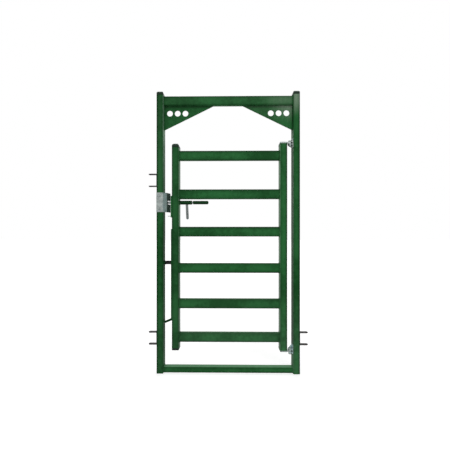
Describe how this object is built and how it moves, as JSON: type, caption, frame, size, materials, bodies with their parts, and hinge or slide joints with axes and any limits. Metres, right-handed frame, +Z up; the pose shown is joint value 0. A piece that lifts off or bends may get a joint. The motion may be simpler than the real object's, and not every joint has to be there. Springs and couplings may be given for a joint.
{
  "type": "livestock bow gate",
  "caption": "Walk-through stockyard gate: a railed leaf hung inside a tall tube frame with header and sill, with a slide bolt latch, corner gussets and pin lugs for joining panels.",
  "frame": {"origin": "middle of the sill's underside, half way between the posts, at ground level", "axes": "+X right along the gate from the latch post to the hinge post, seen from the front; -Y faces the front; +Z up"},
  "size_m": [1.373, 0.117, 2.415],
  "materials": {
    "green_paint": "semi-gloss green enamel",
    "zinc_plate": "dull zinc plate",
    "black_paint": "satin black paint",
    "black_plastic": "moulded plastic",
    "black_rubber": "matt rubber"
  },
  "bodies": {
    "frame": {"left_post": "green_paint", "right_post": "green_paint", "left_post_cap": "black_plastic", "right_post_cap": "black_plastic", "header_rail": "green_paint", "sill": "green_paint", "left_gusset": "green_paint", "right_gusset": "green_paint", "left_upper_lug": "black_paint", "left_lower_lug": "black_paint", "right_lower_lug": "black_paint", "latch_keeper": "zinc_plate", "keeper_bolts": "zinc_plate", "top_hinge_bracket": "zinc_plate", "bottom_hinge_bracket": "zinc_plate", "top_hinge_pin": "zinc_plate", "bottom_hinge_pin": "zinc_plate", "hinge_nuts": "zinc_plate", "upper_stop_arm": "black_paint", "stop_rubber": "black_rubber", "lower_stop_bar": "green_paint"},
    "gate": {"latch_stile": "green_paint", "hinge_stile": "green_paint", "latch_stile_top_cap": "black_plastic", "latch_stile_bottom_cap": "black_plastic", "rail_1": "green_paint", "rail_2": "green_paint", "rail_3": "green_paint", "rail_4": "green_paint", "rail_5": "green_paint", "rail_6": "green_paint", "top_hinge_strap": "zinc_plate", "bottom_hinge_strap": "zinc_plate", "stile_strip": "green_paint", "latch_guide_plate": "green_paint", "latch_housing": "green_paint", "stile_stop_pin": "zinc_plate"},
    "latch": {"latch_bolt": "zinc_plate", "latch_grip": "green_paint", "latch_lever": "zinc_plate"}
  },
  "joints": [
    {"name": "gate_swing", "type": "hinge", "parent": "frame", "child": "gate", "pos_m": [0.528, -0.025, 1], "axis": [0, 0, 1], "range_deg": [0, 100]},
    {"name": "latch_slide", "type": "slide", "parent": "gate", "child": "latch", "axis": [1, 0, 0], "range_m": [0, 0.026], "stiffness_N_per_m": 800, "springref_m": -0.01}
  ]
}
